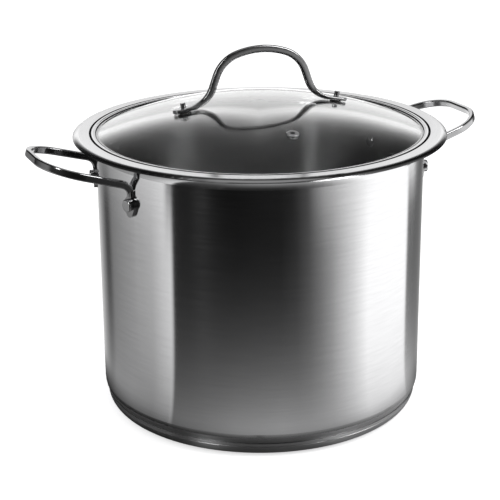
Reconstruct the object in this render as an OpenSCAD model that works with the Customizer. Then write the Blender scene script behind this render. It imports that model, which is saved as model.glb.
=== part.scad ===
// Stock pot with a domed glass lid.
// The pot is drawn from sheet steel, stands on a capped sandwich base and carries two riveted
// bar handles. The lid is a glass dome crimped into a steel band, with a bow handle held by
// two posts and a steam vent.
// Millimetres, +Z up, side handles along X, origin in the middle of the base's underside.

/* [Pot body] */
// Outside diameter of the wall
body_d = 265; // [230:1:300]
// Height of the lip's upper face above the table
rim_z = 228.8; // [170:0.1:280]
// Thickness of the pot's sheet
wall_t = 1; // [0.8:0.1:1.1]
// Bend from the wall out to the lip, on its under side
flare_r = 11; // [11:0.5:11.5]
// How far the lip's edge stands out from the wall
lip_out = 13; // [12.5:0.1:13]
// Bend from the wall in to the floor, on its outer side
heel_r = 14; // [14:0.5:18]
// Height of the floor's underside
floor_z = 6.5; // [6:0.1:8]

/* [Base] */
// Thickness of the steel cap
cap_t = 0.8; // [0.6:0.1:0.8]
// How far the cap's side stands in from the wall
cap_in = 2.2; // [1.8:0.1:2.2]
// Bend at the cap's lower edge
cap_r = 10.3; // [6:0.1:10.5]
// Height of the cap's upper edge
cap_z = 11.4; // [11:0.1:11.4]
// Height of the groove round the cap
cap_groove_z = 9.1; // [8:0.1:9.5]
// Radius of that groove
cap_groove_r = 0.35; // [0.2:0.05:0.5]
// How far the core stops below the cap's upper edge
core_drop = 0.8; // [0.5:0.1:1.5]

/* [Side handles] */
// How far below the lip the handle's plane meets the wall
handle_drop = 18.5; // [17:0.5:60]
// Upward tilt of the handle's plane
handle_tilt = 16.5; // [10:0.5:22]
// Distance from the wall to the middle of the grip, along that plane
handle_reach = 58; // [48:1:70]
// Half the spacing of the legs at the wall
leg_half = 42.6; // [42.2:0.1:43]
// Angle by which the legs close in towards the grip
leg_in = 3; // [2:0.5:4]
// Corner radius at the bar's middle line
corner_r = 31; // [20:0.5:34]
// Height of the bar
bar_h = 6; // [5:0.1:7]
// Thickness of the bar
bar_w = 4.2; // [3.6:0.1:5]
// Rounding of the bar's edges
bar_round = 1.3; // [0.5:0.1:1.6]
// Radius of the elbow that turns each leg down, at the bar's middle line
elbow_r = 11; // [10.5:0.5:11.5]
// How far outside the wall's face the elbows start
elbow_out = 0.4; // [0.2:0.1:0.8]

/* [Handle tabs] */
// Angle of the tabs from the handle's middle line
tab_a = 18.9; // [18.7:0.1:19.1]
// Thickness of the tabs
tab_t = 2.6; // [2:0.1:3]
// How far the rivets lie below the handle's plane
rivet_below = 16.7; // [16.6:0.1:18]
// Radius of the eye round the rivet
eye_r = 6.2; // [5.5:0.1:7]
// Radius of the tail's end
tail_r = 3.7; // [3:0.1:4.5]
// How far the tail's end circle lies below the rivet
tail_below = 6.2; // [4:0.1:8]
// Width of the neck above the eye
neck_w = 4.4; // [4:0.1:5]
// Fillet between the neck and the eye
neck_r = 4; // [2:0.5:5]
// Height of the neck above the rivet
neck_up = 11; // [10:0.5:12]

/* [Rivets] */
// Diameter of the shank
rivet_d = 5; // [4:0.1:5.5]
// Diameter of the outer head
head_d = 10; // [8:0.1:10.6]
// Height of the outer head
head_h = 3.2; // [2:0.1:4]
// Rounding of the outer head's edge
head_round = 1.2; // [0.3:0.1:1.8]
// Diameter of the inner head
inner_d = 9; // [7.5:0.1:10]
// Height of the inner head
inner_h = 1.6; // [1:0.1:2.2]

/* [Lid band] */
// Thickness of the flange
band_t = 1; // [0.8:0.1:1.2]
// How far out from the wall the rolled edge begins
flange_out = 12.8; // [12.7:0.1:13.5]
// Outer radius of the rolled edge
edge_r = 6.5; // [5:0.1:8]
// How far the rolled edge comes down
edge_drop = 2.5; // [2:0.1:3.5]
// How far the crimp's outer face stands out from the wall
crimp_out = 1.8; // [1.4:0.1:1.8]
// Width of the crimp's lips
crimp_w = 2.4; // [2:0.1:3]
// Thickness of the crimped sheet
crimp_t = 0.6; // [0.5:0.05:0.65]
// Rounding of the crimp's outer corner
crimp_round = 0.7; // [0.5:0.05:0.8]
// Radius of the groove between crimp and flange
band_groove_r = 0.55; // [0.3:0.05:0.6]
// Distance of that groove from the crimp's outer face, along the flange
band_groove_out = 2; // [1.2:0.1:3]

/* [Lid glass] */
// Thickness of the glass
glass_t = 3.2; // [3:0.1:3.2]
// Rise of the dome above its flat rim
dome_h = 24.2; // [16:0.1:30]
// Height of the flat rim's upper face above the pot's lip
glass_up = 0; // [0:0.05:0.3]
// Width of the flat rim
flat_w = 3.7; // [3.5:0.1:4.5]
// Play between the glass and the crimp's web
glass_play = 0.1; // [0.05:0.05:0.3]

/* [Lid handle] */
// Angle at which the lid lies, turned from the line of the side handles
lid_turn = -6; // [-90:1:90]
// How far the bow lies off the lid's middle, along its own line
bow_off = 1.4; // [0:0.1:2]
// Height of the bow's middle line above the crown of the glass
bow_rise = 41.1; // [40:0.1:48]
// Radius of the bow's top
bow_top_r = 63; // [56:1:72]
// Half the angle of the bow's top
bow_top_a = 19; // [16:0.1:22]
// Radius of the shoulders
bow_side_r = 27; // [24:0.5:28]
// Slope of the legs
bow_leg_a = 70.8; // [68:0.1:73]
// Radius of the bend from leg to foot
bow_foot_r = 22; // [16:0.5:24]
// Thickness of the bar, in the plane of the bow
bow_h = 6; // [4.5:0.1:7]
// Depth of the bar, across that plane
bow_w = 4.4; // [3.6:0.1:6]
// Thickness of the feet
foot_t = 2.6; // [2:0.1:3.2]
// Width of the feet
foot_w = 9.5; // [8:0.1:11]
// How far the feet run past the posts
foot_end = 9.1; // [7:0.1:10]
// Rounding of the bar as a share of its smaller side
bow_round = 0.34; // [0.1:0.01:0.45]

/* [Lid fittings] */
// Distance of the posts from the middle of the bow
post_at = 63.9; // [63:0.1:68]
// Diameter of the posts
post_d = 4.2; // [3.6:0.1:5]
// Height of the posts above the feet
post_h = 4.4; // [3:0.1:8]
// Chamfer at the ends of the posts
post_edge = 0.4; // [0.2:0.1:0.8]
// How far the posts stand out below the nuts
post_below = 0.8; // [0.5:0.1:2]
// Thickness of the upper gaskets
seat_t = 0.8; // [0.5:0.1:1.5]
// Diameter of the upper gaskets
seat_d = 9; // [8:0.1:11]
// Outside diameter of the sleeve that lines each hole in the glass
sleeve_d = 6; // [5.6:0.1:6.6]
// Depth of that sleeve
sleeve_h = 2.4; // [1:0.1:2.6]
// Thickness of the lower gaskets
under_t = 1; // [0.6:0.1:1.5]
// Diameter of the lower gaskets and washers
under_d = 11; // [9:0.1:13]
// Thickness of the washers
washer_t = 0.8; // [0.5:0.1:1.2]
// Width of the nuts across flats
nut_af = 7; // [6.5:0.1:8]
// Height of the nuts
nut_h = 3.2; // [2.5:0.1:4]

/* [Steam vent] */
// Distance of the vent from the middle of the lid
vent_at = 81; // [50:0.5:110]
// Direction of the vent from the line of the bow
vent_turn = -90; // [-120:1:-60]
// Diameter of the eyelet's flange
vent_d = 10; // [9:0.1:12]
// Thickness of the flange
vent_t = 1; // [0.6:0.1:1.2]
// Rounding of the flange's edge
vent_round = 0.6; // [0.2:0.05:0.6]
// Diameter of the hole
vent_hole_d = 4; // [3:0.1:4.6]
// Outside diameter of the tube
vent_tube_d = 6; // [5.4:0.1:6.4]
// Diameter of the rolled end under the glass
vent_roll_d = 8.4; // [7.6:0.1:9.5]
// Thickness of the rolled end
vent_roll_t = 0.8; // [0.5:0.1:1.2]
// Thickness of the gasket under the flange
vent_seat_t = 0.5; // [0.3:0.1:1]
// Diameter of that gasket
vent_seat_d = 8.8; // [7.5:0.1:9.8]

/* [Hidden] */
$fn = 128;
// Segments of the large circles that draw the dome
dome_fn = 720;
// Extra length of a cutting shape
cut = 1;
// Extra depth of a flat seat that is cut to a curved face
seat_cut = 0.4;
// Steps in each bend of the bow and in the rounding of its section
bow_steps = 8;
round_steps = 4;
// Share of the foot's half width at which its rounded tip ends
tip_share = 0.97;
// How much of the change from bar to foot is done by the end of the bend
bend_share = 0.85;
// How far the foot's widening lags behind its thinning
widen_lag = 0.35;
// How fast the rest of the change is done along the flat of the foot
flat_share = 0.45;

body_r = body_d / 2;
inner_r = body_r - wall_t;
lip_r = body_r + lip_out;
flare_z = rim_z - wall_t - flare_r;
cap_side_r = body_r - cap_in;
core_z = cap_z - core_drop;

handle_z = rim_z - handle_drop;
rivet_z = handle_z - rivet_below;
tab_r = body_r + tab_t;
elbow_a = 90 - handle_tilt;
corner_x = handle_reach - corner_r;
corner_y = leg_half - corner_x * tan(leg_in) - corner_r / cos(leg_in);
leg_len = (corner_x + corner_r * sin(leg_in) - elbow_out) / cos(leg_in);
inner_ball_r = (inner_d * inner_d / 4 + inner_h * inner_h) / (2 * inner_h);

band_z = rim_z + band_t;
edge_c = body_r + flange_out;
crimp_r = body_r + crimp_out;
glass_z = rim_z + glass_up;
glass_low = glass_z - glass_t;
glass_r = crimp_r - crimp_t - glass_play;
dome_edge_r = glass_r - flat_w;
dome_r = (dome_edge_r * dome_edge_r + dome_h * dome_h) / (2 * dome_h);
dome_c = glass_z + dome_h - dome_r;
crown_z = glass_z + dome_h;

foot_a = asin(post_at / dome_r);
foot_n = [sin(foot_a), cos(foot_a)];
foot_z = dome_c + dome_r * cos(foot_a);
// Middle line of a foot, at its post
foot_mid = [post_at, foot_z] + (seat_t + foot_t / 2) * foot_n;
bow_c1 = [0, crown_z + bow_rise - bow_top_r];
bow_c2 = bow_c1 + (bow_top_r - bow_side_r) * [sin(bow_top_a), cos(bow_top_a)];
bow_p2 = bow_c2 + bow_side_r * [sin(bow_leg_a), cos(bow_leg_a)];
bow_turn = bow_leg_a - foot_a;
bow_leg = ((bow_p2 - foot_mid) * foot_n + bow_foot_r * (cos(bow_turn) - 1)) / sin(bow_turn);
bow_p3 = bow_p2 + bow_leg * [cos(bow_leg_a), -sin(bow_leg_a)];
bow_c3 = bow_p3 + bow_foot_r * [sin(bow_leg_a), cos(bow_leg_a)];
bow_p4 = bow_c3 - bow_foot_r * foot_n;
foot_dir = [cos(foot_a), -sin(foot_a)];
foot_len = (foot_mid - bow_p4) * foot_dir + foot_end;
foot_flat = foot_len - foot_w / 2;

vent_a = asin(vent_at / dome_r);
vent_z = dome_c + dome_r * cos(vent_a);

// A quarter of a bent sheet's section, in the direction given by the two signs
module quarter(r, t, sx, sy) {
  intersection() {
    difference() {
      circle(r);
      circle(r - t);
    }
    translate([sx < 0 ? -r : 0, sy < 0 ? -r : 0])
      square(r);
  }
}

// What a rounding takes off a square corner that points to the two signs
module corner_off(r, sx, sy) {
  difference() {
    translate([sx > 0 ? -r : 0, sy > 0 ? -r : 0])
      square(r);
    translate([-sx * r, -sy * r])
      circle(r);
  }
}

// Section of the pot's sheet: floor, heel, wall, flare and lip
module pot_profile() {
  translate([0, floor_z])
    square([body_r - heel_r, wall_t]);
  translate([body_r - heel_r, floor_z + heel_r])
    quarter(heel_r, wall_t, 1, -1);
  translate([inner_r, floor_z + heel_r])
    square([wall_t, flare_z - floor_z - heel_r]);
  translate([body_r + flare_r, flare_z])
    quarter(flare_r + wall_t, wall_t, -1, 1);
  translate([body_r + flare_r, rim_z - wall_t])
    square([lip_out - flare_r - wall_t / 2, wall_t]);
  translate([lip_r - wall_t / 2, rim_z - wall_t / 2])
    circle(d = wall_t);
}

// The room the pot's lower end takes up
module heel_room() {
  translate([0, floor_z])
    square([body_r - heel_r, heel_r]);
  translate([body_r - heel_r, floor_z + heel_r])
    circle(heel_r);
}

// Outline of the base cap, set in by its sheet or not
module cap_outline(inset) {
  translate([0, inset])
    square([cap_side_r - cap_r, cap_z - inset]);
  translate([0, cap_r])
    square([cap_side_r - inset, cap_z - cap_r]);
  translate([cap_side_r - cap_r, cap_r])
    circle(cap_r - inset);
}

// Places children along a rivet's axis, with Z pointing out of the pot
module on_rivet(az) {
  rotate([0, 0, az])
    translate([0, 0, rivet_z])
      rotate([0, 90, 0])
        children();
}

module rivet_bore(az) {
  on_rivet(az)
    translate([0, 0, inner_r - inner_h])
      cylinder(d = rivet_d, h = wall_t + tab_t + head_h + inner_h);
}

module pot_shell() {
  color("silver")
    difference() {
      rotate_extrude()
        pot_profile();
      for (az = [tab_a, -tab_a, 180 + tab_a, 180 - tab_a])
        rivet_bore(az);
    }
}

module base_core() {
  color("gainsboro")
    rotate_extrude()
      difference() {
        intersection() {
          cap_outline(cap_t);
          square([body_r, core_z]);
        }
        heel_room();
      }
}

module base_cap() {
  color("silver")
    rotate_extrude()
      difference() {
        intersection() {
          cap_outline(0);
          square([body_r, cap_z]);
        }
        intersection() {
          cap_outline(cap_t);
          square([body_r, cap_z]);
        }
        translate([cap_side_r, cap_groove_z])
          circle(cap_groove_r);
      }
}

// Section of the handle bar, thickness across and height up
module bar_section() {
  square([bar_w - 2 * bar_round, bar_h], center = true);
  square([bar_w, bar_h - 2 * bar_round], center = true);
  for (sx = [1, -1], sy = [1, -1])
    translate([sx * (bar_w / 2 - bar_round), sy * (bar_h / 2 - bar_round)])
      circle(bar_round);
}

// Half of the loop: grip, corner, leg, and the elbow that turns the leg down to its tab
module half_loop() {
  translate([handle_reach, corner_y, 0])
    rotate([90, 0, 0])
      linear_extrude(corner_y)
        bar_section();
  translate([corner_x, corner_y, 0]) {
    rotate_extrude(angle = 90 - leg_in)
      translate([corner_r, 0])
        bar_section();
    rotate([0, 0, 90 - leg_in])
      translate([corner_r, 0, 0]) {
        rotate([-90, 0, 0])
          linear_extrude(leg_len)
            bar_section();
        translate([0, leg_len, -elbow_r])
          rotate([0, -90, 0])
            rotate_extrude(angle = elbow_a)
              translate([elbow_r, 0])
                rotate(90)
                  bar_section();
      }
  }
}

// Outline of a tab: eye, tail and necked upper end, with the rivet at the origin
module tab_outline() {
  tail_a = asin((eye_r - tail_r) / tail_below);
  tail_n = [cos(tail_a), -sin(tail_a)];
  eye_t = eye_r * tail_n;
  tail_t = tail_r * tail_n - [0, tail_below];
  fillet_x = neck_w / 2 + neck_r;
  fillet_y = sqrt((eye_r + neck_r) * (eye_r + neck_r) - fillet_x * fillet_x);
  circle(eye_r);
  translate([0, -tail_below])
    circle(tail_r);
  polygon([eye_t, tail_t, [-tail_t[0], tail_t[1]], [-eye_t[0], eye_t[1]]]);
  difference() {
    polygon([[0, 0], [fillet_x, fillet_y], [-fillet_x, fillet_y]]);
    for (sx = [1, -1])
      translate([sx * fillet_x, fillet_y])
        circle(neck_r);
  }
  translate([-neck_w / 2, fillet_y])
    square([neck_w, neck_up - fillet_y]);
}

module handle_tab() {
  intersection() {
    cylinder(r = tab_r, h = rim_z);
    rotate([0, 0, tab_a])
      translate([body_r - cut, 0, rivet_z])
        rotate([90, 0, 90])
          linear_extrude(tab_t + 2 * cut)
            tab_outline();
  }
}

// The handle on the +X side
module side_handle() {
  difference() {
    union() {
      translate([body_r, 0, handle_z])
        rotate([0, -handle_tilt, 0])
          for (m = [0, 1])
            mirror([0, m, 0])
              half_loop();
      for (m = [0, 1])
        mirror([0, m, 0])
          handle_tab();
    }
    cylinder(r = body_r, h = rim_z);
    for (az = [tab_a, -tab_a])
      rivet_bore(az);
  }
}

module handle_right() {
  color("lightgray")
    side_handle();
}

module handle_left() {
  color("lightgray")
    rotate([0, 0, 180])
      side_handle();
}

// A rivet: flat outer head seated on the tab, low inner head seated on the wall
module rivet(az) {
  difference() {
    on_rivet(az)
      rotate_extrude()
        translate([0, tab_r - seat_cut])
          difference() {
            square([head_d / 2, head_h + seat_cut]);
            translate([head_d / 2, head_h + seat_cut])
              corner_off(head_round, 1, 1);
          }
    cylinder(r = tab_r, h = rim_z);
  }
  intersection() {
    on_rivet(az)
      rotate_extrude()
        intersection() {
          translate([0, inner_r - inner_h + inner_ball_r])
            circle(inner_ball_r);
          translate([0, inner_r - inner_h - cut])
            square([inner_d / 2, inner_h + cut]);
        }
    cylinder(r = inner_r, h = rim_z);
  }
  on_rivet(az)
    translate([0, 0, inner_r - inner_h / 2])
      cylinder(d = rivet_d, h = wall_t + tab_t + (inner_h + head_h) / 2);
}

module rivet_right_rear() {
  color("gainsboro")
    rivet(tab_a);
}

module rivet_right_front() {
  color("gainsboro")
    rivet(-tab_a);
}

module rivet_left_front() {
  color("gainsboro")
    rivet(180 + tab_a);
}

module rivet_left_rear() {
  color("gainsboro")
    rivet(180 - tab_a);
}

// Section of the lid's band: crimp round the glass, a step below the flat flange, and rolled edge
module band_profile() {
  difference() {
    union() {
      translate([crimp_r - crimp_t, rim_z])
        square([edge_c - crimp_r + crimp_t, band_t]);
      intersection() {
        translate([edge_c, band_z - edge_r])
          quarter(edge_r, band_t, 1, 1);
        translate([edge_c, band_z - edge_drop])
          square([edge_r, edge_drop]);
      }
      difference() {
        translate([crimp_r - crimp_w, glass_low - crimp_t])
          square([crimp_w, glass_t + 2 * crimp_t]);
        translate([crimp_r - crimp_w - cut, glass_low])
          square([crimp_w - crimp_t + cut, glass_t]);
        translate([crimp_r, glass_low - crimp_t])
          corner_off(crimp_round, 1, -1);
      }
    }
    translate([crimp_r + band_groove_out, band_z])
      circle(band_groove_r);
  }
}

module lid_band() {
  color("silver")
    rotate_extrude()
      band_profile();
}

// Section of the glass: dome and flat rim
module glass_profile() {
  intersection() {
    translate([0, dome_c])
      difference() {
        circle(dome_r, $fn = dome_fn);
        circle(dome_r - glass_t, $fn = dome_fn);
      }
    translate([0, glass_low])
      square([dome_edge_r, glass_t + dome_h + cut]);
  }
  translate([dome_edge_r, glass_low])
    square([flat_w, glass_t]);
}

// Turns children with the lid and slides them over the dome to where the bow stands
module on_bow() {
  rotate([0, 0, lid_turn])
    translate([0, 0, dome_c])
      rotate([0, asin(bow_off / dome_r), 0])
        translate([0, 0, -dome_c])
          children();
}

// Places children on the glass at a post, with Z along the glass's normal
module on_post(side) {
  on_bow()
    rotate([0, 0, side > 0 ? 0 : 180])
      translate([post_at, 0, foot_z])
        rotate([0, foot_a, 0])
          children();
}

// Places children on the glass at the vent, with Z along the glass's normal
module on_vent() {
  rotate([0, 0, lid_turn + vent_turn])
    translate([vent_at, 0, vent_z])
      rotate([0, vent_a, 0])
        children();
}

module lid_glass() {
  color("lightblue", 0.4)
    difference() {
      rotate_extrude()
        glass_profile();
      for (side = [1, -1])
        on_post(side)
          translate([0, 0, -glass_t - cut])
            cylinder(d = sleeve_d, h = glass_t + 2 * cut);
      on_vent()
        translate([0, 0, -glass_t - cut])
          cylinder(d = vent_tube_d, h = glass_t + 2 * cut);
    }
}

function ease(t) = t <= 0 ? 0 : t >= 1 ? 1 : t * t * (3 - 2 * t);
function between(a, b, t) = a + (b - a) * t;

// Stations of half the bow, from its top to the tip of a foot:
// each holds a point of the middle line, its slope, the bar's thickness and its depth
bow_top_part = [for (i = [1:bow_steps])
  let (a = bow_top_a * i / bow_steps)
  [bow_c1 + bow_top_r * [sin(a), cos(a)], a, bow_h, bow_w]];
bow_side_part = [for (i = [1:bow_steps])
  let (a = between(bow_top_a, bow_leg_a, i / bow_steps))
  [bow_c2 + bow_side_r * [sin(a), cos(a)], a, bow_h, bow_w]];
bow_foot_part = [for (i = [0:bow_steps])
  let (s = i / bow_steps, a = between(bow_leg_a, foot_a, s), e = ease(bend_share * s))
  [bow_c3 - bow_foot_r * [sin(a), cos(a)], a, between(bow_h, foot_t, e),
   between(bow_w, foot_w, ease((bend_share + widen_lag) * s - widen_lag))]];
bow_flat_part = [for (i = [1:bow_steps])
  let (s = i / bow_steps, e = ease(bend_share + flat_share * s))
  [bow_p4 + foot_flat * s * foot_dir, foot_a, between(bow_h, foot_t, e),
   between(bow_w, foot_w, e)]];
bow_tip_part = [for (i = [1:bow_steps])
  let (q = tip_share * sin(90 * i / bow_steps))
  [bow_p4 + (foot_flat + foot_w / 2 * q) * foot_dir, foot_a, foot_t, foot_w * sqrt(1 - q * q)]];
bow_half = concat(bow_top_part, bow_side_part, bow_foot_part, bow_flat_part, bow_tip_part);
bow_n = len(bow_half);
bow_path = concat(
  [for (i = [bow_n - 1:-1:0])
    let (s = bow_half[i])
    [[-s[0][0], s[0][1]], -s[1], s[2], s[3]]],
  [[bow_c1 + [0, bow_top_r], 0, bow_h, bow_w]],
  bow_half);

// Rounded rectangle at one station, laid across the middle line
function bow_ring(s) = let (
    r = bow_round * min(s[2], s[3]),
    n = [sin(s[1]), cos(s[1])])
  [for (k = [0:3], i = [0:round_steps])
    let (
      a = 90 * (k + i / round_steps),
      p = (k < 2 ? 1 : -1) * (s[2] / 2 - r) + r * sin(a),
      q = (k == 0 || k == 3 ? 1 : -1) * (s[3] / 2 - r) + r * cos(a))
    [s[0][0] + p * n[0], q, s[0][1] + p * n[1]]];

// The bow and its feet: one bar whose section changes along a bent middle line
module bow_bar() {
  ring_n = 4 * (round_steps + 1);
  last = len(bow_path) - 1;
  polyhedron(
    points = [for (s = bow_path) each bow_ring(s)],
    faces = concat(
      [[for (j = [0:ring_n - 1]) j]],
      [for (i = [0:last - 1], j = [0:ring_n - 1])
        let (k = (j + 1) % ring_n)
        [i * ring_n + j, (i + 1) * ring_n + j, (i + 1) * ring_n + k]],
      [for (i = [0:last - 1], j = [0:ring_n - 1])
        let (k = (j + 1) % ring_n)
        [i * ring_n + j, (i + 1) * ring_n + k, i * ring_n + k]],
      [[for (j = [ring_n - 1:-1:0]) last * ring_n + j]]));
}

module lid_handle() {
  color("lightgray")
    difference() {
      on_bow()
        bow_bar();
      for (side = [1, -1])
        on_post(side)
          cylinder(d = post_d, h = seat_t + foot_t + post_h);
    }
}

// A ring round a post, from one height to another along it
module post_ring(side, d, low, high) {
  on_post(side)
    translate([0, 0, low])
      difference() {
        cylinder(d = d, h = high - low);
        translate([0, 0, -cut])
          cylinder(d = post_d, h = high - low + 2 * cut);
      }
}

// How far a flat disc stays off the middle of the dome's inner face
function hollow(d) = d * d / (8 * (dome_r - glass_t));
under_high = -glass_t - hollow(under_d);
washer_low = under_high - under_t - washer_t;
nut_low = washer_low - nut_h;
post_low = nut_low - post_below;
post_high = seat_t + foot_t + post_h;

module post(side) {
  on_post(side)
    rotate_extrude()
      polygon([
        [0, post_low],
        [post_d / 2 - post_edge, post_low],
        [post_d / 2, post_low + post_edge],
        [post_d / 2, post_high - post_edge],
        [post_d / 2 - post_edge, post_high],
        [0, post_high]]);
}

module post_left() {
  color("gray")
    post(-1);
}

module post_right() {
  color("gray")
    post(1);
}

// Upper gasket: a disc laid on the glass and a sleeve in its hole
module seat(side) {
  post_ring(side, seat_d, 0, seat_t);
  post_ring(side, sleeve_d, -sleeve_h, seat_t);
}

module seat_left() {
  color("dimgray")
    seat(-1);
}

module seat_right() {
  color("dimgray")
    seat(1);
}

// Lower gasket, its rim against the dome's inner face
module under(side) {
  post_ring(side, under_d, washer_low + washer_t, under_high);
}

module under_left() {
  color("dimgray")
    under(-1);
}

module under_right() {
  color("dimgray")
    under(1);
}

module washer(side) {
  post_ring(side, under_d, washer_low, washer_low + washer_t);
}

module washer_left() {
  color("silver")
    washer(-1);
}

module washer_right() {
  color("silver")
    washer(1);
}

module nut(side) {
  on_post(side)
    translate([0, 0, nut_low])
      difference() {
        cylinder(d = nut_af / cos(30), h = nut_h, $fn = 6);
        translate([0, 0, -cut])
          cylinder(d = post_d, h = nut_h + 2 * cut);
      }
}

module nut_left() {
  color("silver")
    nut(-1);
}

module nut_right() {
  color("silver")
    nut(1);
}

vent_high = -glass_t - hollow(vent_roll_d);

// A ring round the vent's axis, from one height to another along it
module vent_ring(hole_d, d, low, high) {
  on_vent()
    translate([0, 0, low])
      difference() {
        cylinder(d = d, h = high - low);
        translate([0, 0, -cut])
          cylinder(d = hole_d, h = high - low + 2 * cut);
      }
}

module steam_vent() {
  color("silver") {
    on_vent()
      rotate_extrude()
        translate([0, vent_seat_t])
          difference() {
            translate([vent_hole_d / 2, 0])
              square([(vent_d - vent_hole_d) / 2, vent_t]);
            translate([vent_d / 2, vent_t])
              corner_off(vent_round, 1, 1);
          }
    vent_ring(vent_hole_d, vent_tube_d, vent_high - vent_roll_t, vent_seat_t);
    vent_ring(vent_hole_d, vent_roll_d, vent_high - vent_roll_t, vent_high);
  }
}

module vent_seat() {
  color("dimgray")
    vent_ring(vent_tube_d, vent_seat_d, 0, vent_seat_t);
}

pot_shell();
base_core();
base_cap();
handle_left();
handle_right();
rivet_left_front();
rivet_left_rear();
rivet_right_front();
rivet_right_rear();
lid_glass();
lid_band();
lid_handle();
post_left();
post_right();
seat_left();
seat_right();
under_left();
under_right();
washer_left();
washer_right();
nut_left();
nut_right();
steam_vent();
vent_seat();
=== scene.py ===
import math
import bpy
from mathutils import Matrix


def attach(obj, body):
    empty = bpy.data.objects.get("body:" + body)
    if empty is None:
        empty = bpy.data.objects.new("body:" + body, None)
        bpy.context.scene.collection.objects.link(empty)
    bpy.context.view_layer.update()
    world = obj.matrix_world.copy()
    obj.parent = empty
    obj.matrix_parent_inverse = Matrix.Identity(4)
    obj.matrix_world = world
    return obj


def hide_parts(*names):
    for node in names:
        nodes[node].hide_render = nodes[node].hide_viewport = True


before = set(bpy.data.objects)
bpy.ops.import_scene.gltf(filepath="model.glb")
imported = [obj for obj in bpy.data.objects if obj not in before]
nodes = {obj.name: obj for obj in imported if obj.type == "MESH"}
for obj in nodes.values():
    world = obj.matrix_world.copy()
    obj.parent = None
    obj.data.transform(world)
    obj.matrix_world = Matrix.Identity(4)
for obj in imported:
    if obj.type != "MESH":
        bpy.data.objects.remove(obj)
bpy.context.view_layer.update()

print("stage: frame loaded,", len(nodes), "pieces")


class Wire:  # one output of a node, so that shader maths reads as sums
    def __init__(self, tree, socket=None):
        self.tree = tree
        self.socket = socket

    def node(self, kind, settings=None, values=None, out=0):
        made = self.tree.nodes.new(kind)
        for key, value in (settings or {}).items():
            if key == "stops":
                self.fillRamp(made.color_ramp, value)
            else:
                setattr(made, key, value)
        for key, value in (values or {}).items():
            if isinstance(value, Wire):
                self.tree.links.new(value.socket, made.inputs[key])
            else:
                made.inputs[key].default_value = value
        return Wire(self.tree, made.outputs[out]) if len(made.outputs) else made

    def fillRamp(self, ramp, stops):
        ramp.elements.remove(ramp.elements[1])
        for count, (place, shade) in enumerate(stops):
            stop = ramp.elements.new(place) if count else ramp.elements[0]
            stop.position = place
            stop.color = (shade, shade, shade, 1)

    def sum(self, operation, first, second=0.0):
        return self.node("ShaderNodeMath", {"operation": operation}, {0: first, 1: second})

    def __add__(self, other):
        return self.sum("ADD", self, other)

    def __sub__(self, other):
        return self.sum("SUBTRACT", self, other)

    def __rsub__(self, other):
        return self.sum("SUBTRACT", other, self)

    def __mul__(self, other):
        return self.sum("MULTIPLY", self, other)

    def __truediv__(self, other):
        return self.sum("DIVIDE", self, other)

    def __pow__(self, other):
        return self.sum("POWER", self, other)

    __radd__ = __add__
    __rmul__ = __mul__

    def step(self, low, high):  # softly from 0 at low to 1 at high, which may be the smaller
        return self.node("ShaderNodeMapRange", {"interpolation_type": "SMOOTHSTEP"},
                         {"Value": self, "From Min": low, "From Max": high})

    def swing(self, span):  # noise, moved so that its middle is 0
        return (self - 0.5) * span

    def ramp(self, stops):
        return self.node("ShaderNodeValToRGB", {"stops": stops}, {"Fac": self})

    def noise(self, where, scale=1.0, broken=0.6, detail=3.0):
        return self.node("ShaderNodeTexNoise", None,
                         {"Vector": where, "Scale": scale, "Detail": detail, "Roughness": broken})

    def bump(self, strength, depth, under=None):  # this height as a relief, laid on another one if given
        relief = {"Strength": strength, "Distance": depth, "Height": self}
        if under:
            relief["Normal"] = under
        return self.node("ShaderNodeBump", None, relief)

    def blend(self, share, first, second, how="MIX"):
        return self.node("ShaderNodeMix", {"data_type": "RGBA", "blend_type": how},
                         {"Factor": share, 6: first, 7: second}, out=2)

    def join(self, x, y, z):
        return self.node("ShaderNodeCombineXYZ", None, {0: x, 1: y, 2: z})

    def split(self):
        return [self.node("ShaderNodeSeparateXYZ", None, {0: self}, out=k) for k in range(3)]


def startMaterial(name):
    material = bpy.data.materials.new(name)
    material.use_nodes = True
    material.node_tree.nodes.clear()
    return material, Wire(material.node_tree)


def dress(start, sockets):  # the surface shader, with plain values and wires on its sockets
    surface = start.node("ShaderNodeBsdfPrincipled", None, sockets)
    start.node("ShaderNodeOutputMaterial", None, {"Surface": surface})


coolness = 1.01  # blue in a grey, against its red and green


def grey(level):
    return (level, level, level * coolness, 1)


def axisDistance(x, y):
    return (x * x + y * y) ** 0.5


def deselect():
    bpy.ops.object.select_all(action="DESELECT")


# Steel that was turned on a spindle, with fine and wide lines round the pot's axis.
# The sheet's radii tell its inside from its outside, in metres. The inside is rougher, and its colour is
# painted darker as painted shade inside the pot
wallSteel = {
    "dark": 0.66, "light": 0.91, "rough": 0.12, "roughSpan": 0.08, "grain": 0.95, "grainTurn": 0.25,
    "lines": 2600, "fineAround": 2.2, "fineBroken": 0.65, "fineShare": 0.45,
    "wideAround": 4.5, "wideAcross": 0.22, "wideBroken": 0.6,
    "cloudScale": 14, "cloudBroken": 0.55, "cloudSpan": 0.05, "bump": 0.06, "bumpDepth": 0.0002,
    "sheet": (0.13185, 0.1323), "insideRough": 0.24, "insidePaintedShare": 0.4, "insidePaintedShade": 0.3}
# The lid's band has a rounded crimp beside the glass, and dark rings of painted shade at its groove and at
# the glass edge.
# Each has the radius of its middle and half its width, in metres
bandSteel = {**wallSteel, "dark": 0.48, "light": 0.64, "rough": 0.15, "grain": 0.4, "bump": 0.03}
bandEdges = {"shadeRings": [(0.1363, 0.0011), (0.1318, 0.0006)], "paintedRingShade": 0.006, "shadeRingCore": 0.7,
             "crimp": (0.1341, 0.0022), "crimpRound": 0.0055}


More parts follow.
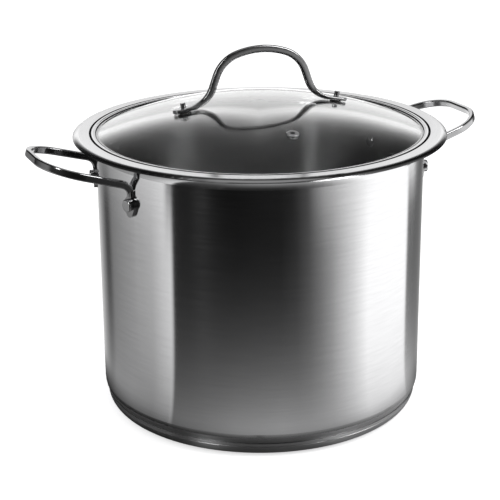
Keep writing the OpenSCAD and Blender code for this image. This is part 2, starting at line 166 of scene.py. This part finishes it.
def addEdges(start, edges, radius, normal, shade, rough):
    middle, half = edges["crimp"]
    off = start.sum("MINIMUM", start.sum("ABSOLUTE", radius - middle), half)
    fall = off * off * (-0.5 / edges["crimpRound"])  # as a circle of that radius falls from its top
    normal = fall.bump(1.0, 1.0, normal)
    # Painted shade: each ring turns the base colour near black and rough, standing in for the shade in the
    # groove and at the glass edge
    for middle, half in edges["shadeRings"]:
        shadeRing = start.sum("ABSOLUTE", radius - middle).step(half, half * edges["shadeRingCore"])
        shade = start.blend(shadeRing, shade, grey(edges["paintedRingShade"]))
        rough = start.sum("MAXIMUM", rough, shadeRing)
    return normal, shade, rough


def makeTurnedSteel(name, look, edges=None):
    material, start = startMaterial(name)
    place = start.node("ShaderNodeTexCoord", out="Object")
    x, y, z = place.split()
    radius = axisDistance(x, y)
    across = (z - radius) * look["lines"]
    fineRing = start.join(x / radius * look["fineAround"], y / radius * look["fineAround"], across)
    wideRing = start.join(x / radius * look["wideAround"], y / radius * look["wideAround"],
                          across * look["wideAcross"])
    fine = start.noise(fineRing, broken=look["fineBroken"])
    wide = start.noise(wideRing, broken=look["wideBroken"])
    lines = fine * look["fineShare"] + wide * (1 - look["fineShare"])
    cloud = start.noise(place, look["cloudScale"], look["cloudBroken"])
    inside = 1 - radius.step(*look["sheet"])
    rough = (look["rough"] + lines.swing(look["roughSpan"]) + cloud.swing(look["cloudSpan"])
             + inside * look["insideRough"])
    normal = lines.bump(look["bump"], look["bumpDepth"])
    shade = start.blend(lines, grey(look["dark"]), grey(look["light"]))
    # Painted shade: the inside of the pot is mixed towards a dark grey
    shade = start.blend(inside * look["insidePaintedShare"], shade, grey(look["insidePaintedShade"]))
    if edges:
        normal, shade, rough = addEdges(start, edges, radius, normal, shade, rough)
    dress(start, {
        "Base Color": shade,
        "Metallic": 1.0,
        "Roughness": rough,
        "Anisotropic": look["grain"],
        "Anisotropic Rotation": look["grainTurn"],
        "Normal": normal})
    return material


# Metal that was polished on a wheel or rolled: short soft marks and faint clouds.
# Marks are counted per metre along each axis, after a turn about the pot's axis in degrees
# Painted shade: the bars, bow and heads have base colours darker than the wall's steel, standing in for the
# darker reflections they show
barSteel = {
    "dark": 0.36, "light": 0.5, "rough": 0.11, "roughSpan": 0.1, "bump": 0.05, "bumpDepth": 0.0002,
    "marks": (60, 900, 900), "markShare": 0.6, "turn": 0,
    "cloudScale": 45, "cloudBroken": 0.5, "cloudSpan": 0.08}
bowSteel = {**barSteel, "rough": 0.19, "turn": 6}
# Painted highlight: the vent's base colour is lighter than the bars', to make its rim brighter
ventSteel = {**barSteel, "dark": 0.7, "light": 0.85, "rough": 0.34, "marks": (700, 700, 700)}
headSteel = {**barSteel, "dark": 0.42, "light": 0.56, "rough": 0.14, "marks": (700, 700, 700)}
coreMetal = {**barSteel, "dark": 0.6, "light": 0.74, "rough": 0.42, "roughSpan": 0.2,
             "marks": (40, 900, 900), "bump": 0.08}


def makePolishedMetal(name, look):
    material, start = startMaterial(name)
    place = start.node("ShaderNodeTexCoord", out="Object")
    along = start.node("ShaderNodeMapping", None, {
        "Vector": place, "Rotation": (0, 0, math.radians(look["turn"])), "Scale": look["marks"]})
    marks = start.noise(along)
    cloud = start.noise(place, look["cloudScale"], look["cloudBroken"])
    both = marks * look["markShare"] + cloud * (1 - look["markShare"])
    dress(start, {
        "Base Color": start.blend(both, grey(look["dark"]), grey(look["light"])),
        "Metallic": 1.0,
        "Roughness": look["rough"] + marks.swing(look["roughSpan"]) + cloud.swing(look["cloudSpan"]),
        "Normal": marks.bump(look["bump"], look["bumpDepth"])})
    return material


# Clear tempered glass of the lid with the faintest smears, and painted shade: near black at its rim, where
# the band meets and covers it
lidGlass = {"tint": (0.866, 0.868, 0.867, 1), "rim": (0.01, 0.01, 0.01, 1), "rimFrom": (0.1304, 0.1308),
            "bend": 1.5, "smearRough": 0.02, "smearScale": 22, "smearFrom": (0.55, 0.8)}


def makeGlass(name, look):
    material, start = startMaterial(name)
    place = start.node("ShaderNodeTexCoord", out="Object")
    smear = start.noise(place, look["smearScale"]).step(*look["smearFrom"])
    x, y = place.split()[:2]
    # Painted shade: the glass turns near black from this radius outwards, under the band's edge
    rim = axisDistance(x, y).step(*look["rimFrom"])
    dress(start, {
        "Base Color": start.blend(rim, look["tint"], look["rim"]),
        "Roughness": smear * look["smearRough"],
        "IOR": look["bend"],
        "Coat Weight": 1.0,
        "Coat Roughness": 0.0,
        "Transmission Weight": 1.0})
    return material


# Dark silicone of the gaskets
gasketRubber = {"dark": 0.012, "light": 0.03, "rough": 0.55, "roughSpan": 0.2,
                "grain": 1500, "grainBroken": 0.5, "grainDetail": 2.0, "bump": 0.15, "bumpDepth": 0.0002}


def makeRubber(name, look):
    material, start = startMaterial(name)
    place = start.node("ShaderNodeTexCoord", out="Object")
    grain = start.noise(place, look["grain"], look["grainBroken"], look["grainDetail"])
    dress(start, {
        "Base Color": start.blend(grain, grey(look["dark"]), grey(look["light"])),
        "Roughness": look["rough"] + grain.swing(look["roughSpan"]),
        "Normal": grain.bump(look["bump"], look["bumpDepth"])})
    return material


finishes = {
    makeTurnedSteel("turnedSteel", wallSteel): ["pot_shell", "base_cap"],
    makeTurnedSteel("bandSteel", bandSteel, bandEdges): ["lid_band"],
    makePolishedMetal("ventSteel", ventSteel): ["steam_vent"],
    makePolishedMetal("barSteel", barSteel): ["handle_left", "handle_right"],
    makePolishedMetal("bowSteel", bowSteel): ["lid_handle"],
    makePolishedMetal("headSteel", headSteel): [
        "rivet_left_front", "rivet_left_rear", "rivet_right_front", "rivet_right_rear",
        "post_left", "post_right", "washer_left", "washer_right", "nut_left", "nut_right"],
    makeGlass("lidGlass", lidGlass): ["lid_glass"],
    makeRubber("gasketRubber", gasketRubber): [
        "seat_left", "seat_right", "under_left", "under_right", "vent_seat"],
    makePolishedMetal("coreAluminium", coreMetal): ["base_core"]}
for material, names in finishes.items():
    for name in names:
        nodes[name].data.materials.clear()
        nodes[name].data.materials.append(material)
print("stage: finishes given")

# The bow as a smooth piece of its own, from the frame's shape
bowShape = {"merge": 0.00001, "smoothAngle": 32}

deselect()
bow = nodes["lid_handle"].copy()
bow.data = nodes["lid_handle"].data.copy()
bow.name = "lidBow"
bow.parent = None
bow.matrix_world = Matrix.Identity(4)
bpy.context.collection.objects.link(bow)
for key in [k for k in bow.keys() if k.startswith("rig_")]:
    del bow[key]
bow.select_set(True)
bpy.context.view_layer.objects.active = bow
bpy.ops.object.mode_set(mode="EDIT")
bpy.ops.mesh.select_all(action="SELECT")
bpy.ops.mesh.remove_doubles(threshold=bowShape["merge"])
bpy.ops.mesh.customdata_custom_splitnormals_clear()
bpy.ops.object.mode_set(mode="OBJECT")
bpy.ops.object.shade_smooth_by_angle(angle=math.radians(bowShape["smoothAngle"]))
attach(bow, "lid")
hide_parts("lid_handle")
print("stage: bow made,", len(bow.data.polygons), "faces")

# Camera at the photograph's place: turned round the pot, then set back, raised and aimed
view = {"turn": 23.9, "distance": 1.11407, "height": 0.51706, "pitch": 19.3946,
        "roll": 0.4834, "yaw": -0.4424, "lens": 102.136, "sensor": 36}


def turned(angle, axis):
    return Matrix.Rotation(math.radians(angle), 4, axis)


deselect()
bpy.ops.object.camera_add()
camera = bpy.context.object
camera.name = "viewCamera"
camera.data.sensor_width = view["sensor"]
camera.data.lens = view["lens"]
camera.matrix_world = (turned(-view["turn"], "Z")
                       @ Matrix.Translation((0, -view["distance"], view["height"]))
                       @ turned(-view["yaw"], "Z")
                       @ turned(90 - view["pitch"], "X")
                       @ turned(-view["roll"], "Z"))
bpy.context.scene.camera = camera
print("stage: camera placed")


# In the studio, angles run from the camera's side round to the right, in degrees.
# Grey nets shade what the metal and the glass mirror, as a photographer's flags do.
# Their lists pair an angle, or a height above the floor in degrees, with the light let through there
def fromCamera(angle, distance, height):
    around = math.radians(angle - view["turn"])
    return (math.sin(around) * distance, -math.cos(around) * distance, height)


def angleOf(start, x, y):
    front, right = fromCamera(0, 1, 0), fromCamera(90, 1, 0)
    return start.sum("ARCTAN2", x * right[0] + y * right[1], x * front[0] + y * front[1])


def byAngle(angle, stops):
    return (angle / (2 * math.pi) + 0.5).ramp([((a + 180) / 360, v) for a, v in stops])


def byHeight(height, stops):
    return height.ramp([(a / 90, v) for a, v in stops])


def rayKinds(start, names):  # 1 for a ray of any of these kinds
    kinds = [start.node("ShaderNodeLightPath", out=name) for name in names]
    total = kinds[0]
    for kind in kinds[1:]:
        total = start.sum("MAXIMUM", total, kind)
    return total


def mirroredRays(start):
    return rayKinds(start, ["Is Glossy Ray", "Is Transmission Ray"])


studioFloor = {"colour": 0.86, "glow": 0.6, "mirrored": 1.3, "size": 14, "drop": 0.001}


def makeFloor():
    deselect()
    bpy.ops.mesh.primitive_plane_add(size=studioFloor["size"], location=(0, 0, -studioFloor["drop"]))
    floor = bpy.context.object
    floor.name = "studioFloor"
    material, start = startMaterial("paleFloor")
    matte = start.node("ShaderNodeBsdfDiffuse", None, {"Color": grey(studioFloor["colour"])})
    glow = start.node("ShaderNodeEmission", None,
                      {"Strength": rayKinds(start, ["Is Camera Ray"]) * studioFloor["glow"]})
    seen = start.node("ShaderNodeAddShader", None, {0: matte, 1: glow})
    mirrored = start.node("ShaderNodeEmission", None, {"Strength": studioFloor["mirrored"]})
    both = start.node("ShaderNodeMixShader", None, {0: mirroredRays(start), 1: seen, 2: mirrored})
    start.node("ShaderNodeOutputMaterial", None, {"Surface": both})
    floor.data.materials.append(material)


def finishNet(net, name, start, material, level):  # nets are only seen in the metal and in the glass
    net.name = name
    blocked = start.node("ShaderNodeBsdfTransparent", None, {"Color": (0, 0, 0, 1)})
    clear = start.node("ShaderNodeBsdfTransparent", None, {"Color": (1, 1, 1, 1)})
    both = start.node("ShaderNodeMixShader", None, {0: level, 1: blocked, 2: clear})
    start.node("ShaderNodeOutputMaterial", None, {"Surface": both})
    net.data.materials.append(material)
    net.visible_camera = False
    net.visible_diffuse = False
    net.visible_shadow = False


# The net over the floor: near and far levels by the way the wall mirrors them, wide ones beyond,
# and a painted shadow ring under the heel. The near levels also hold the pot's painted shadow on the floor.
# Lengths are in metres from the pot's axis
floorNet = {
    "radius": 3.0, "sides": 96, "drop": 0.0005, "potRadius": 0.1325,
    "nearFade": 0.11, "wideFrom": (0.62, 0.95), "contactShadowFade": (0.14, 0.19),
    "contactShadow": [(-180, 0.05), (-60, 0.04), (0, 0.1), (60, 0.3), (110, 0.6), (150, 0.2), (180, 0.05)],
    "near": [(-180, 0.31), (-165, 0.46), (-150, 0.3), (-128, 0.29), (-104, 0.23), (-80, 0.1), (-66, 0.03),
             (-62, 0.2), (-40, 0.26), (-16, 0.38), (14, 0.45), (58, 0.34), (102, 0.57), (126, 0.57),
             (150, 0.27), (180, 0.31)],
    "far": [(-180, 1.0), (-171, 1.0), (-164, 0.55), (-150, 0.26), (-139, 0.05), (-134, 0.05), (-127, 0.17),
            (-104, 0.26), (-81, 0.38), (-64, 0.66), (-62, 0.014), (-16, 0.003), (14, 0.005), (25, 0.02),
            (34, 0.06), (42, 0.13), (50, 0.24), (67, 0.62), (80, 1.0), (124, 1.0), (126.5, 0.13), (140, 0.1),
            (152, 0.13), (164, 0.26), (171, 1.0), (180, 1.0)],
    "wide": [(-180, 1.0), (-174, 1.0), (-166, 0.4), (-158, 0.18), (-140, 0.18), (-110, 0.38), (-64, 0.7),
             (-61, 0.012), (-20, 0.005), (20, 0.012), (30, 0.06), (41, 0.4), (80, 1.0), (124, 1.0),
             (132, 0.26), (140, 0.09), (158, 0.09), (166, 0.26), (174, 1.0), (180, 1.0)]}


def makeFloorNet():
    deselect()
    bpy.ops.mesh.primitive_circle_add(vertices=floorNet["sides"], radius=floorNet["radius"],
                                      fill_type="NGON", location=(0, 0, -floorNet["drop"]))
    material, start = startMaterial("floorNet")
    x, y = start.node("ShaderNodeTexCoord", out="Object").split()[:2]
    radius = axisDistance(x, y)
    place = angleOf(start, x, y)
    heading = place  # of the mirrored ray that meets the floor here, found in two rounds
    for turn in range(2):
        onWall = start.sum("SINE", heading / 2) * floorNet["potRadius"] / radius
        heading = place + start.sum("ARCSINE", onWall)
    near = start.sum("EXPONENT", (floorNet["potRadius"] - radius) / floorNet["nearFade"])
    level = start.blend(near, byAngle(heading, floorNet["far"]), byAngle(heading, floorNet["near"]))
    level = start.blend(radius.step(*floorNet["wideFrom"]), level, byAngle(place, floorNet["wide"]))
    # Painted shadow: the pot's contact shadow on the floor, as the metal mirrors it
    under = start.blend(radius.step(*floorNet["contactShadowFade"]), byAngle(place, floorNet["contactShadow"]), grey(1))
    level = start.blend(1.0, level, under, "MULTIPLY")
    finishNet(bpy.context.object, "floorNet", start, material, level)


# The net overhead: levels round the sky, times levels by height in front and at the back, and a pale top.
# At the back the heights come down to either side
domeNet = {
    "radius": 3.0, "segments": 64, "rings": 32,
    "around": [(-180, 1.0), (-158, 1.0), (-148, 0.3), (-135, 0.15), (-70, 0.3), (-60, 0.05), (-20, 0.02),
               (20, 0.03), (36, 0.1), (70, 0.3), (80, 0.8), (124, 0.8), (132, 0.3), (140, 0.12),
               (150, 0.12), (162, 1.0), (180, 1.0)],
    "frontShare": [(-130, 0.0), (-90, 1.0), (100, 1.0), (130, 0.0)],
    "front": [(0, 0.58), (20, 0.5), (40, 0.1), (90, 0.03)],
    "back": [(0, 0.4), (6, 0.52), (26, 0.52), (29, 0.75), (32, 0.75), (35, 0.56), (38, 0.38), (41, 0.24),
             (45, 0.13), (51, 0.06), (60, 0.03), (90, 0.02)],
    "backSlope": 0.8,
    "top": [(0, 0.0), (66, 0.0), (76, 0.2), (90, 0.2)]}


def makeDomeNet():
    deselect()
    bpy.ops.mesh.primitive_uv_sphere_add(segments=domeNet["segments"], ring_count=domeNet["rings"],
                                         radius=domeNet["radius"])
    material, start = startMaterial("domeNet")
    x, y, z = start.node("ShaderNodeTexCoord", out="Object").split()
    perQuarter = 2 / math.pi  # turns an angle into a share of a right angle
    height = start.sum("ARCSINE", z / domeNet["radius"]) * perQuarter
    angle = angleOf(start, x, y)
    aside = 2 - start.sum("ABSOLUTE", angle) * perQuarter  # how far from the middle of the back
    back = byHeight(height + aside * domeNet["backSlope"], domeNet["back"])
    front = byHeight(height, domeNet["front"])
    sides = start.blend(byAngle(angle, domeNet["frontShare"]), back, front)
    level = start.sum("MAXIMUM", byAngle(angle, domeNet["around"]) * sides, byHeight(height, domeNet["top"]))
    finishNet(bpy.context.object, "domeNet", start, material, level)


studioSky = {"plain": 0.6, "mirrored": 2.0}


def makeWorld():  # white to the camera, plain to the floor, brighter behind the nets
    world = bpy.data.worlds.new("studioWorld")
    bpy.context.scene.world = world
    world.use_nodes = True
    world.node_tree.nodes.clear()
    start = Wire(world.node_tree)
    plain = studioSky["plain"]
    level = (rayKinds(start, ["Is Camera Ray"]) * (1 - plain)
             + mirroredRays(start) * (studioSky["mirrored"] - plain) + plain)
    sky = start.node("ShaderNodeBackground", None, {"Color": (1, 1, 1, 1), "Strength": level})
    start.node("ShaderNodeOutputWorld", None, {"Surface": sky})


softboxes = [
    {"name": "rightSoftbox", "angle": 64, "distance": 1.9, "height": 1.75, "size": (0.8, 1.9), "power": 26},
    {"name": "leftSoftbox", "angle": -40, "distance": 1.9, "height": 1.4, "size": (0.36, 1.6), "power": 11}]


def makeSoftbox(box):
    deselect()
    bpy.ops.object.light_add(type="AREA", location=fromCamera(box["angle"], box["distance"], box["height"]))
    lamp = bpy.context.object
    lamp.name = box["name"]
    lamp.data.shape = "RECTANGLE"
    lamp.data.size, lamp.data.size_y = box["size"]
    lamp.data.energy = box["power"]
    lamp.rotation_mode = "QUATERNION"
    lamp.rotation_quaternion = (lamp.location * -1).to_track_quat("-Z", "Y")  # towards the pot's foot


makeFloor()
makeFloorNet()
makeDomeNet()
makeWorld()
for box in softboxes:
    makeSoftbox(box)
bpy.context.scene.view_settings.view_transform = "Standard"
print("stage: studio lit")

print("stage: done")
